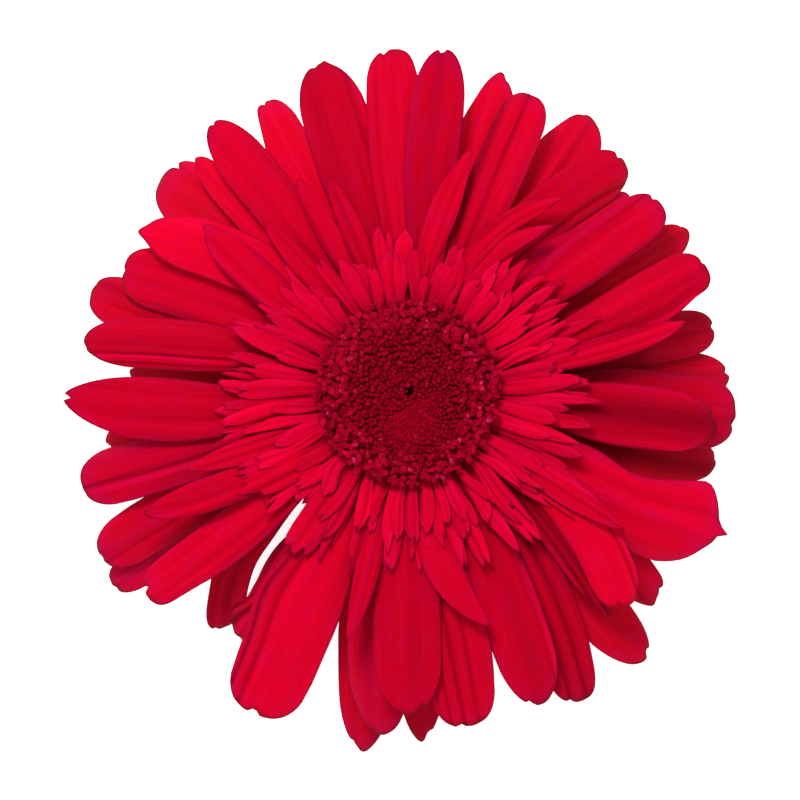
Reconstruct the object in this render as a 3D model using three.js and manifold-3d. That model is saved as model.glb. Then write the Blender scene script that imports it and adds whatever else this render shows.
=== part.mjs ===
// Cut gerbera: a red semi-double head on a short stub of its stem, lying on its back with its face up.
// Millimetres, +Z up. The origin is on the surface that the head lies on, under the middle of its box.
// From the top down: the disc florets, the ray florets, the green cup of bracts and the cut stem.

import * as THREE from 'three';
import { mergeVertices } from 'three/addons/utils/BufferGeometryUtils.js';
import Module from 'manifold-3d';

// ---------- driving dimensions ----------

const DISC_AXIS = new THREE.Vector2(1.3, 1.55); // the head's axis, off the middle of its ragged outline
const SEAT_GAP = 0.3; // air left between two pieces that meet

const STEM_RADIUS = 3.1;
const STEM_LENGTH = 4.3;
const CUP_BOTTOM = STEM_LENGTH + SEAT_GAP;
const CUP_TOP = 12.8;
const CUP_RADIUS = 12.6;

const CORE_BOTTOM = CUP_TOP + SEAT_GAP;
const CORE_TOP = 18.6;
const CORE_RADIUS = 13.0; // the receptacle's rim, where all rays are rooted
const ROOT_RADIUS = 11.2; // rays start inside the rim
const BLADE_THICKNESS = 0.7;
const CLAW = 0.32; // a ray's width at its root, as a share of its full width
const CLAW_LENGTH = 0.62; // the share of a ray along which it widens
const TIP_WIDTH = 0.16; // a tip's last edge, as a share of the full width
const RAY_ARCH = 0.16; // how far a ray's edges hang, as a share of its half width
const RAY_ROLL = 4; // largest turn of a ray about its own line, in degrees

// Heights of a long ray's root, bend and tip in level 0, and the rise from one level to the next.
const BEND_SHARE = 0.62; // the bend's place, as a share of the reach
const ROOT_HEIGHT = { lowest: 14.1, step: 0.75 };
const BEND_HEIGHT = { lowest: 14.4, step: 1.7 };
const TIP_HEIGHT = { lowest: 0.45, step: 4.35 };

// The same heights of the mid-length rays, whose narrow tips stand a little higher.
const MID_ROOT_HEIGHT = 16.2;
const MID_BEND_HEIGHT = 20.4;
const MID_TIP_HEIGHT = { broad: 18.1, narrow: 18.6 };
const NARROW = 5;

const DISC_BOTTOM = CORE_TOP + SEAT_GAP;
const DISC_RADIUS = 13.6;
const DISC_MIDDLE = 21.7; // height of the disc's skin at its middle
const DISC_FALL = 1.3; // how far the skin drops from there to the rim
const SKIN_RADIUS = 0.95 * DISC_RADIUS; // where the skin turns down into the rim

const GOLDEN_ANGLE = Math.PI * (3 - Math.sqrt(5));
const DEGREE = Math.PI / 180;

// How a tip closes: where the taper starts along the ray, and the power of its curve.
const ROUND = { start: 0.76, power: 2.1 };
const BLUNT = { start: 0.82, power: 2.7 };
const LANCE = { start: 0.68, power: 1.7 };
const POINTED = { start: 0.62, power: 1.45 };

// The power of the sideways bend of a ray that swings aside towards its tip.
const BOWED = 2;
const LATE = 3.2;

// Long rays, anticlockwise from +X: azimuth of the tip and of the root in degrees, reach from the
// axis, width, level and tip, and the bend's power if not 1. Level 0 is the lowest layer, and 3 the highest.
const LONG_RAYS = [
  [2.8, 3, 50.1, 8.8, 0, ROUND],
  [11.6, 12, 48.5, 7.6, 0.7, BLUNT],
  [22.6, 16, 49.9, 8.8, 3, BLUNT],
  [29.8, 29, 50.2, 7.5, 0.5, ROUND],
  [36.6, 37, 48.7, 8, 2.5, BLUNT],
  [46.4, 61, 48.8, 8.4, 1.7, BLUNT],
  [56.6, 55, 51.2, 9.5, 0.7, ROUND],
  [67.2, 68, 49.6, 8, 2.7, BLUNT],
  [73.6, 74, 51.6, 8.6, 1.2, LANCE],
  [83.9, 84, 53.2, 8.4, 3, ROUND],
  [92.6, 93, 52.9, 8.8, 2.5, BLUNT],
  [105.5, 103, 52.6, 10.5, 1.9, ROUND],
  [116.6, 115, 50.1, 7.4, 1.2, BLUNT],
  [126.2, 123, 51.4, 8, 2.6, ROUND],
  [132.3, 131, 48.9, 5, 1.5, ROUND],
  [138.4, 137, 50.8, 10.6, 0, BLUNT],
  [148.7, 134, 47.5, 8.8, 2.8, ROUND],
  [157, 149.5, 48, 9.5, 1.7, BLUNT],
  [162.6, 164, 51.6, 8.2, 0.5, BLUNT],
  [171.4, 164, 50.8, 8, 1.8, ROUND],
  [175.5, 177, 46.8, 7.6, 0.4, ROUND],
  [181.3, 190, 53.4, 9.8, 2.6, LANCE],
  [189.6, 190, 46.9, 7, 0.6, ROUND],
  [196.8, 196, 52.6, 9, 1.8, BLUNT],
  [208.2, 205, 54.2, 8.4, 0.9, BLUNT],
  [213.4, 211, 55, 6.5, 0.2, BLUNT],
  [218.4, 220, 51.3, 7.8, 2.7, BLUNT],
  [231, 220.5, 47.6, 5.3, 0.6, BLUNT, LATE],
  [235.7, 240, 46.6, 8, 0.7, ROUND],
  [244.7, 243, 55.3, 12.5, 2.7, BLUNT],
  [263, 258.3, 56.6, 10.5, 0, LANCE],
  [265.8, 265, 53.5, 8.5, 1.2, ROUND],
  [270.5, 270, 50, 11.5, 3.1, ROUND],
  [272.2, 274, 54.6, 8.6, 0.5, LANCE],
  [280.4, 279, 52.7, 10, 2.5, BLUNT],
  [293.3, 299.3, 52.7, 10.3, 2.1, ROUND],
  [299.3, 311.5, 55, 9, 1.4, BLUNT],
  [305.6, 314, 46.5, 5.5, 1.8, POINTED],
  [311.4, 309, 55.8, 8.8, 0.4, ROUND],
  [314.6, 329.5, 47, 7.8, 3.2, BLUNT, BOWED],
  [321, 323, 50, 8, 1.0, BLUNT],
  [334.8, 331.5, 52.8, 13.5, 1.8, ROUND],
  [346.4, 347, 49.2, 9.2, 0.4, ROUND],
  [353.4, 354.2, 48, 9.8, 2.4, ROUND],
  [355.4, 357, 51, 11.5, 1.1, BLUNT],
  [41.5, 46, 44.6, 6, 1.2, ROUND],
];

// Mid-length rays that lie over the long ones: the same columns without a level.
const MID_RAYS = [
  [51, 67, 38.2, 4, POINTED, BOWED],
  [48.5, 63, 34, 3.4, POINTED, BOWED],
  [75.5, 84, 38.6, 4.6, POINTED],
  [110.5, 107, 35.5, 3.8, POINTED],
  [117.5, 115, 37, 3.6, LANCE],
  [130.5, 128, 34.5, 4, POINTED],
  [141, 147, 40.6, 6, LANCE],
  [199.5, 201, 36.5, 4, POINTED],
  [205, 213, 45, 5.4, LANCE],
  [234.4, 233.5, 30.8, 5, BLUNT],
  [256.4, 258, 39.8, 3.8, POINTED],
  [289.6, 276, 38.6, 5.6, POINTED, BOWED],
  [327.2, 328, 39.8, 4.2, POINTED],
  [14, 9, 44, 4, LANCE],
  [211, 215, 31, 4.6, LANCE],
];

// Rings of short inner rays: how many, mean reach, width, and heights of the root, the bend and the tip.
const SHORT_RINGS = [
  { count: 31, reach: 28, width: 3.2, rootZ: 16.4, bendRadius: 19.5, bendZ: 18.6, tipZ: 18.2 },
  { count: 28, reach: 26, width: 3, rootZ: 17, bendRadius: 18, bendZ: 19.4, tipZ: 19.3 },
  { count: 25, reach: 23.4, width: 2.7, rootZ: 17.7, bendRadius: 17, bendZ: 20.2, tipZ: 20.3 },
];
// How far a short ray's measures may stray: reach and tip height in mm, azimuth and roll in
// degrees, and width as a share.
const SHORT_SPREAD = { reach: 2.6, tipZ: 0.8, azimuth: 3.2, roll: 10, width: 0.2 };
// How much farther short rays reach to the right, to the top and to both sides, in mm.
const SHORT_LEAN = { right: 0.4, top: -1.2, sides: 1.9 };
// An open slit through the head, in degrees, and the reach that short rays keep to there.
const SLIT = { from: 223.5, to: 231.5, reach: 24.3 };

// ---------- solids from triangles ----------

const wasm = await Module();
wasm.setup();

function toSolid(geometry) {
  const bare = geometry.clone();
  bare.deleteAttribute('normal');
  bare.deleteAttribute('uv');
  const welded = mergeVertices(bare, 1e-4);
  return new wasm.Manifold(
    new wasm.Mesh({
      numProp: 3,
      vertProperties: new Float32Array(welded.attributes.position.array),
      triVerts: new Uint32Array(welded.index.array),
    })
  );
}

function toGeometry(solid) {
  const mesh = solid.getMesh();
  const geometry = new THREE.BufferGeometry();
  geometry.setAttribute('position', new THREE.BufferAttribute(new Float32Array(mesh.vertProperties), 3));
  geometry.setIndex(new THREE.BufferAttribute(new Uint32Array(mesh.triVerts), 1));
  geometry.computeVertexNormals();
  return geometry;
}

// Joins solids into one body. A sealed hollow is filled and a loose scrap dropped, because only the
// outer skin of the largest body is kept.
function fuse(solids) {
  const joined = wasm.Manifold.union(solids).simplify(0.03);
  const bodies = joined.decompose();
  return bodies.reduce((best, body) => (body.volume() > best.volume() ? body : best));
}

// A repeatable draw from 0 to 1 for a whole number and a named stream of draws.
function draw(index, stream) {
  const value = Math.sin(index * 12.9898 + stream * 78.233) * 43758.5453;
  return value - Math.floor(value);
}

function spread(index, stream) {
  return 2 * draw(index, stream) - 1;
}

function smooth(x) {
  const t = Math.min(Math.max(x, 0), 1);
  return t * t * (3 - 2 * t);
}

// ---------- blades: rays and bracts ----------

// A point of a blade's middle line. The line is a quadratic curve in radius and height, and its
// azimuth swings from the root's to the tip's.
function middlePoint(blade, t) {
  const s = 1 - t;
  const radius = s * s * blade.rootRadius + 2 * s * t * blade.bendRadius + t * t * blade.reach;
  const height = s * s * blade.rootZ + 2 * s * t * blade.bendZ + t * t * blade.tipZ;
  const swing = Math.pow(t, blade.turn ?? 1);
  const azimuth = (blade.rootAzimuth + (blade.tipAzimuth - blade.rootAzimuth) * swing) * DEGREE;
  return new THREE.Vector3(radius * Math.cos(azimuth), radius * Math.sin(azimuth), height);
}

function halfWidth(blade, t) {
  const claw = CLAW + (1 - CLAW) * smooth(t / CLAW_LENGTH);
  const taper = Math.max((t - blade.tip.start) / (1 - blade.tip.start), 0);
  const close = Math.pow(1 - Math.pow(taper, blade.tip.power), 1 / blade.tip.power);
  return 0.5 * blade.width * claw * Math.max(close, TIP_WIDTH);
}

// A blade's frame at t: its middle point, the way across it and the way up through it.
function bladeFrame(blade, t) {
  const step = 0.01;
  const before = Math.max(t - step, 0);
  const along = middlePoint(blade, t + step).sub(middlePoint(blade, before)).normalize();
  const across = new THREE.Vector3(0, 0, 1).cross(along).normalize();
  across.applyAxisAngle(along, blade.roll * DEGREE);
  const up = new THREE.Vector3().crossVectors(along, across);
  return { middle: middlePoint(blade, t), across, up };
}

// A closed arched blade: rows of points along it, and the same triangles on both faces.
function bladeSolid(blade, rows, columns) {
  const points = [];
  const width = columns + 1;
  for (const side of [1, -1]) {
    for (const t of rows) {
      const frame = bladeFrame(blade, t);
      const half = halfWidth(blade, t);
      for (let column = 0; column < width; column += 1) {
        const u = (2 * column) / columns - 1;
        const sag = blade.arch * half * u * u;
        const point = frame.middle.clone().addScaledVector(frame.across, u * half);
        point.addScaledVector(frame.up, (side * blade.thickness) / 2 - sag);
        points.push(point);
      }
    }
  }
  const below = rows.length * width;
  const indices = [];
  const quad = (a, b, c, d) => indices.push(a, b, c, a, c, d);
  for (let row = 0; row < rows.length - 1; row += 1) {
    for (let column = 0; column < columns; column += 1) {
      const a = row * width + column;
      const b = a + width;
      quad(a, b, b + 1, a + 1);
      indices.push(below + a, below + b + 1, below + b);
      indices.push(below + a, below + a + 1, below + b + 1);
    }
    const left = row * width;
    const right = left + columns;
    quad(left, below + left, below + left + width, left + width);
    quad(right, right + width, below + right + width, below + right);
  }
  const last = (rows.length - 1) * width;
  for (let column = 0; column < columns; column += 1) {
    quad(column, column + 1, below + column + 1, below + column);
    quad(last + column, below + last + column, below + last + column + 1, last + column + 1);
  }
  const geometry = new THREE.BufferGeometry().setFromPoints(points);
  geometry.setIndex(indices);
  return toSolid(geometry);
}

function lathe(profile, segments) {
  return new THREE.LatheGeometry(
    profile.map(([radius, height]) => new THREE.Vector2(radius, height)),
    segments
  ).rotateX(Math.PI / 2);
}

// ---------- ray florets ----------

const LONG_ROWS = [0, 0.28, 0.55, 0.79, 0.93, 1];
const MID_ROWS = [0, 0.35, 0.65, 0.88, 1];
const SHORT_ROWS = [0, 0.4, 0.75, 1];

function longRay([tipAzimuth, rootAzimuth, reach, width, level, tip, turn], index) {
  return {
    tipAzimuth,
    rootAzimuth,
    reach,
    width,
    tip,
    turn,
    rootRadius: ROOT_RADIUS,
    bendRadius: BEND_SHARE * reach,
    rootZ: ROOT_HEIGHT.lowest + ROOT_HEIGHT.step * level,
    bendZ: BEND_HEIGHT.lowest + BEND_HEIGHT.step * level,
    tipZ: TIP_HEIGHT.lowest + TIP_HEIGHT.step * level,
    roll: RAY_ROLL * spread(index, 1),
    arch: RAY_ARCH,
    thickness: BLADE_THICKNESS,
  };
}

function midRay([tipAzimuth, rootAzimuth, reach, width, tip, turn], index) {
  const row = [tipAzimuth, rootAzimuth, reach, width, 0, tip, turn];
  const ray = longRay(row, index + LONG_RAYS.length);
  const tipZ = ray.width < NARROW ? MID_TIP_HEIGHT.narrow : MID_TIP_HEIGHT.broad;
  return { ...ray, rootZ: MID_ROOT_HEIGHT, bendZ: MID_BEND_HEIGHT, tipZ };
}

function shortRay(ring, ringIndex, index) {
  const id = 100 * (ringIndex + 1) + index;
  const azimuth = (360 * (index + 0.5 * ringIndex)) / ring.count;
  const tipAzimuth = azimuth + SHORT_SPREAD.azimuth * spread(id, 2);
  const angle = tipAzimuth * DEGREE;
  const { right, top, sides } = SHORT_LEAN;
  const lean = right * Math.cos(angle) + top * Math.sin(angle) + sides * Math.cos(2 * angle);
  const reach = ring.reach + lean + SHORT_SPREAD.reach * spread(id, 3);
  const besideSlit = tipAzimuth > SLIT.from && tipAzimuth < SLIT.to;
  return {
    rootAzimuth: azimuth,
    tipAzimuth,
    reach: besideSlit ? Math.min(reach, SLIT.reach) : reach,
    width: ring.width * (1 + SHORT_SPREAD.width * spread(id, 4)),
    tip: LANCE,
    rootRadius: ROOT_RADIUS,
    bendRadius: ring.bendRadius,
    rootZ: ring.rootZ,
    bendZ: ring.bendZ,
    tipZ: ring.tipZ + SHORT_SPREAD.tipZ * spread(id, 5),
    roll: SHORT_SPREAD.roll * spread(id, 6),
    arch: 0,
    thickness: BLADE_THICKNESS,
  };
}

function rayFlorets() {
  const core = lathe(
    [
      [0, CORE_BOTTOM],
      [CORE_RADIUS - 0.6, CORE_BOTTOM],
      [CORE_RADIUS, CORE_BOTTOM + 1],
      [CORE_RADIUS, CORE_TOP - 1.2],
      [CORE_RADIUS - 1.6, CORE_TOP],
      [0, CORE_TOP],
    ],
    36
  );
  const solids = [toSolid(core)];
  LONG_RAYS.forEach((row, index) => solids.push(bladeSolid(longRay(row, index), LONG_ROWS, 2)));
  MID_RAYS.forEach((row, index) => solids.push(bladeSolid(midRay(row, index), MID_ROWS, 2)));
  SHORT_RINGS.forEach((ring, ringIndex) => {
    for (let index = 0; index < ring.count; index += 1) {
      solids.push(bladeSolid(shortRay(ring, ringIndex, index), SHORT_ROWS, 1));
    }
  });
  return toGeometry(fuse(solids));
}

// ---------- disc florets ----------

const BUD_COUNT = 96;
const BUD_FIELD = 9.3; // radius that the closed buds fill
const BUD_PIT = 3; // the first buds of the spiral are missing, which leaves a small pit
const BUD = { size: 0.85, height: 1.9 };
const PIT_DEPTH = 0.9;
const SKIN_RINGS = 4;

// Two rings of open florets round the buds: how many, their ring's radius, size and outward lean.
const OPEN_RINGS = [
  { count: 24, radius: 10.2, size: 1.0, height: 2.4, lean: 10 },
  { count: 30, radius: 12, size: 1.05, height: 2.6, lean: 22 },
];

function discHeight(radius) {
  const share = radius / DISC_RADIUS;
  return DISC_MIDDLE - DISC_FALL * share * share;
}

// A five-sided cone that stands on the disc's skin with a third of it sunk in.
function discBud(radius, azimuth, size, height, lean) {
  const sunk = height / 3;
  const cone = new THREE.ConeGeometry(size, height, 5).rotateX(Math.PI / 2);
  cone.translate(0, 0, height / 2 - sunk);
  cone.rotateY(lean * DEGREE);
  cone.translate(radius, 0, discHeight(radius));
  cone.rotateZ(azimuth);
  return toSolid(cone);
}

function discFlorets() {
  const skin = [
    [0, DISC_BOTTOM],
    [DISC_RADIUS - 1.8, DISC_BOTTOM],
    [DISC_RADIUS, DISC_BOTTOM + 1.5],
  ];
  for (let ring = SKIN_RINGS; ring >= 1; ring -= 1) {
    const radius = (SKIN_RADIUS * ring) / SKIN_RINGS;
    skin.push([radius, discHeight(radius)]);
  }
  skin.push([0, discHeight(0) - PIT_DEPTH]);
  const solids = [toSolid(lathe(skin, 30))];
  for (let index = BUD_PIT; index < BUD_COUNT; index += 1) {
    const radius = BUD_FIELD * Math.sqrt(index / BUD_COUNT);
    solids.push(discBud(radius, index * GOLDEN_ANGLE, BUD.size, BUD.height, 0));
  }
  OPEN_RINGS.forEach((ring, ringIndex) => {
    for (let index = 0; index < ring.count; index += 1) {
      const id = 500 + 100 * ringIndex + index;
      const azimuth = (2 * Math.PI * (index + 0.3 * spread(id, 7))) / ring.count;
      const height = ring.height * (1 + 0.2 * spread(id, 8));
      solids.push(discBud(ring.radius, azimuth, ring.size, height, ring.lean));
    }
  });
  return toGeometry(fuse(solids));
}

// ---------- green cup ----------

// Two rows of lance-shaped bracts that hug the cup.
const BRACT_ROWS = [
  { count: 19, rootRadius: 8.6, rootZ: 8.8, bendRadius: 12.2, bendZ: 9.4, reach: 14.3, tipZ: 11.9, width: 3.6 },
  { count: 16, rootRadius: 4.2, rootZ: 6.2, bendRadius: 9.6, bendZ: 6.6, reach: 13.4, tipZ: 10.2, width: 3.6 },
];
const BRACT_LINES = [0, 0.4, 0.75, 1];

function involucre() {
  const cup = lathe(
    [
      [0, CUP_BOTTOM],
      [STEM_RADIUS + 0.4, CUP_BOTTOM],
      [5.2, 6.0],
      [8.6, 8.0],
      [11.4, 10.0],
      [CUP_RADIUS, CUP_TOP - 1],
      [CUP_RADIUS - 0.4, CUP_TOP],
      [0, CUP_TOP],
    ],
    30
  );
  const solids = [toSolid(cup)];
  BRACT_ROWS.forEach((row, rowIndex) => {
    for (let index = 0; index < row.count; index += 1) {
      const azimuth = (360 * (index + 0.5 * rowIndex)) / row.count;
      const tip = { rootAzimuth: azimuth, tipAzimuth: azimuth, tip: POINTED };
      const bract = { ...row, ...tip, roll: 0, arch: 0.2, thickness: 0.9 };
      solids.push(bladeSolid(bract, BRACT_LINES, 1));
    }
  });
  return toGeometry(fuse(solids));
}

// ---------- stem ----------

function stem() {
  return lathe(
    [
      [0, 0],
      [STEM_RADIUS, 0],
      [STEM_RADIUS, 0.6 * STEM_LENGTH],
      [STEM_RADIUS + 0.4, STEM_LENGTH],
      [0, STEM_LENGTH],
    ],
    20
  );
}

// ---------- assembly ----------

function piece(name, geometry, color, roughness) {
  const material = new THREE.MeshStandardMaterial({ color, roughness, metalness: 0 });
  const mesh = new THREE.Mesh(geometry, material);
  mesh.name = name;
  return mesh;
}

const gerbera = new THREE.Group();
gerbera.position.set(DISC_AXIS.x, DISC_AXIS.y, 0);
gerbera.add(piece('ray_florets', rayFlorets(), 0xd8022c, 0.55));
gerbera.add(piece('disc_florets', discFlorets(), 0x72040f, 0.6));
gerbera.add(piece('involucre', involucre(), 0x5d7a33, 0.65));
gerbera.add(piece('stem', stem(), 0x7d9a4a, 0.6));

export default gerbera;
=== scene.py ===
"""A cut red gerbera head lying face up, dressed in fine florets, bracts and down."""
import math

import bpy
import numpy as np
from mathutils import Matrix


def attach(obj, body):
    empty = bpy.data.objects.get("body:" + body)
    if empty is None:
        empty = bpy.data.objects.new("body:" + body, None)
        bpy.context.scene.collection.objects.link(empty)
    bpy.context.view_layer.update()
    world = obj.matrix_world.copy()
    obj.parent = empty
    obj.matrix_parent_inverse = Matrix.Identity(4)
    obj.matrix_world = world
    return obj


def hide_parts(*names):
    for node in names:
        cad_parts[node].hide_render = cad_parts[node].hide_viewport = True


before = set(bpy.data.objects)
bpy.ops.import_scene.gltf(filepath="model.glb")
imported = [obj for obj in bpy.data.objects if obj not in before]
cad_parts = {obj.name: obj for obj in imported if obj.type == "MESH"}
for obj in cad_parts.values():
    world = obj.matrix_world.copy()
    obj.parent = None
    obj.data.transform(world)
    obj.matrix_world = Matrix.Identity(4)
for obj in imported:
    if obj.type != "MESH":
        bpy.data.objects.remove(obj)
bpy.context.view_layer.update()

# ----- driving dimensions, in millimetres and degrees unless a name says otherwise -----

MM = 0.001
PHOTO_MM_PER_PIXEL = 0.155
PHOTO_PIXELS = 800
DISC_PIXEL = (408, 391)  # where the disc's middle lies in the photograph

CAMERA_AWAY = 1.5  # in metres
CAMERA_LEVEL = 0.008  # the height at which the frame is exactly as wide as the photograph says
SENSOR_WIDTH = 36
FILL = 0.75  # light from all round
FLOOR_SIZE = 6  # in metres
KEY_PLACE = (-0.22, 0.55, 1.0)  # in metres: above the top of the picture, a little to its left
KEY_SIZE = 0.3  # in metres
KEY_POWER = 12.0
FLOOR_GLOW = 0.8
PETAL_GLOW = 0.25  # share of light that passes through a petal
TONE_RANGE = (0.4, 1.44)  # how bright the darkest and the brightest petals are; the tones hold painted light and shade as well as their own

DISC_AXIS = np.array([1.3, 1.55, 0.0])
ROOT_RADIUS = 11.2
RAY_CLAW = (0.32, 0.62)  # width at the root as a share of the full width, and where that is reached
RAY_ARCH = 0.16
FURROW_PACE = 11  # radians of a petal's fine furrows over half its width
FURROW_DEPTH = 0.05
RAY_ROLL = 4.0
RAY_THICKNESS = 0.42
SHORT_THICKNESS = 0.3
BRACT_THICKNESS = 0.6
BEND_SHARE = 0.62
ROOT_HEIGHT = (14.1, 0.75)  # in level 0, and the rise from one level to the next
BEND_HEIGHT = (14.4, 1.7)
TIP_HEIGHT = (0.45, 4.35)
MID = None  # stands for a level in the rows of mid-length rays
MID_ROOT_HEIGHT = 16.2
MID_BEND_HEIGHT = 20.4
MID_TIP_HEIGHT = {"broad": 18.1, "narrow": 18.6}
NARROW = 5.0

BASE_PROFILE = ((0, 13.1), (12.4, 13.1), (13, 14.1), (13, 17.4), (11.4, 18.6), (0, 18.6))
CUP_PROFILE = ((0, 4.6), (3.5, 4.6), (5.2, 6), (8.6, 8), (11.4, 10), (12.6, 11.8), (12.2, 12.8), (0, 12.8))
CUP_SIDE = CUP_PROFILE[2:7]  # where down grows
STEM_PROFILE = ((0, 0), (3.1, 0), (3.1, 2.58), (3.5, 4.3), (0, 4.3))
STEM_SIDE = ((3.1, 0.6), (3.1, 2.58), (3.5, 4.3))
# Rows of bracts: count, radius and height of the root, of the bend and of the tip, and width.
BRACT_ROWS = ((19, 8.6, 8.8, 12.2, 9.4, 14.3, 11.9, 3.6), (16, 4.2, 6.2, 9.6, 6.6, 13.4, 10.2, 3.6))
HAIR_WIDTH = 0.07
HAIR_CORNERS = (0, 2.094, 4.189)  # the corners of a hair's section, in radians
HAIR_SUNK = 0.05  # how deep a hair's root lies in the skin

DISC_BOTTOM = 18.9
DISC_FOOT = 11.8
DISC_RADIUS = 13.6
DISC_MIDDLE = 21.7
DISC_FALL = 1.3
PIT_PLACE = (0.4, 0.1)
PIT_DEPTH = 1.5
PIT_RADIUS = 0.65
TRAIL_END = (-0.45, -1.6)  # a groove runs from the pit to here and fades out
TRAIL_DEPTH = 1.3
TRAIL_WIDTH = 0.38
PAINTED_SHADE_PLACES = ((PIT_PLACE, 0.8), ((0.1, -0.45), 0.55), ((-0.1, -0.9), 0.45))  # painted shade, near black, in the pit and its groove, out to a distance
SKIN_DROP = 0.25
BUD_COUNT = 900
BUD_REACH = 10.9
BUD_CROWDING = 0.56  # 0.5 spreads the buds evenly, more crowds them at the middle
BUD_STRAY = 0.24
BUD_SIZE = (0.35, 0.13)  # a bud's radius at the middle, and what it gains towards the rim
BUD_HEIGHT = (0.6, 0.5)
BUD_SUNK = 0.25  # the share of a bud's height that is sunk in the skin
BUD_GROOVE = 0.2  # no bud stands where the groove is deeper than this share
CALM_PLACE = (0.1, -4.8)  # the middle of a smooth fold of the youngest buds
CALM_RADIUS = 5.5
FOLD_PLACE = (1.1, -1.6)  # a place on the fold's sharp side, and the way from there into the fold
FOLD_SIDE = (0.54, -0.84)
FOLD_WIDTH = 0.25
FOLD_RISE = 0.65
BUD_FOLLOW = 0.62  # the share of the fold's rise that its buds take part in, so that they lie half sunk
STRAP_THICKNESS = 0.18
STRAP_WIDTH = 0.85
STRAPS = 3  # of each open floret
TUBE_RADIUS = 0.42
TUBE_DRAWN = 1.2  # how far a tube's section is drawn out to one side
# Open florets by ring: count, radius, height, lean in degrees and length of a strap.
OPEN_RINGS = ((36, 10.3, 1.3, 4, 1.2), (42, 11.5, 1.45, 8, 1.4), (46, 12.6, 1.4, 14, 1.5), (48, 13.6, 1.2, 24, 1.6))
GOLDEN_ANGLE = math.pi * (3 - math.sqrt(5))

# Meshes: rows and columns of points on each side of a blade or strap, and rings and segments of the disc's skin.
LONG_GRID = (42, 25)
MID_GRID = (36, 17)
SHORT_GRID = (18, 9)
BRACT_GRID = (20, 9)
STRAP_GRID = (7, 4)
SKIN_GRID = (60, 128)
COLUMN_SPACING = (0.55, 0.45)  # the shares of crowding to the edges and of even spacing
ROW_CROWDING = 0.9  # below 1, a blade's rows crowd towards its tip
UV_SIZE = 10  # the mm of a surface that one unit of its UV map spans

# How a tip closes: where the taper starts along the ray, and the power of its curve.
ROUND = (0.76, 2.1)
BLUNT = (0.82, 2.7)
LANCE = (0.68, 1.7)
POINTED = (0.62, 1.45)

# What sets single rays apart. Places across run from -1, the clockwise edge, to 1, and tones from -1, dark, to 1.
# A ray's tone is partly its own and partly painted light and shade, for how it lies to the light and under others.
# bands: place, or places at the root and at the tip, width, tone and pinkness of a lengthwise stripe; dark stripes
# are mostly painted shade of cast shadows and creases, pale ones partly painted highlights, the rest the petal's own
# streaks.
# hidden: share of the length, from the root, that is painted in shade. turn: power of the sideways bend.
# claw: as RAY_CLAW. curl: rise of the clockwise and the other edge. folds: place, depth in mm, width.
# notches: place, depth as a share of the length (less than 0 for a point), width.
# bulges: side, place along, spread, mm that the edge stands out.

def ray(tip_a, root_a, reach, width, level, tip, tone=None, *bands, **details):
    """One row of a table of rays: its measures, its tone and bands, and by name what else sets it apart."""
    if tone is not None:
        details.update(tone=tone, bands=bands)
    return (tip_a, root_a, reach, width, level, tip), details


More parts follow.
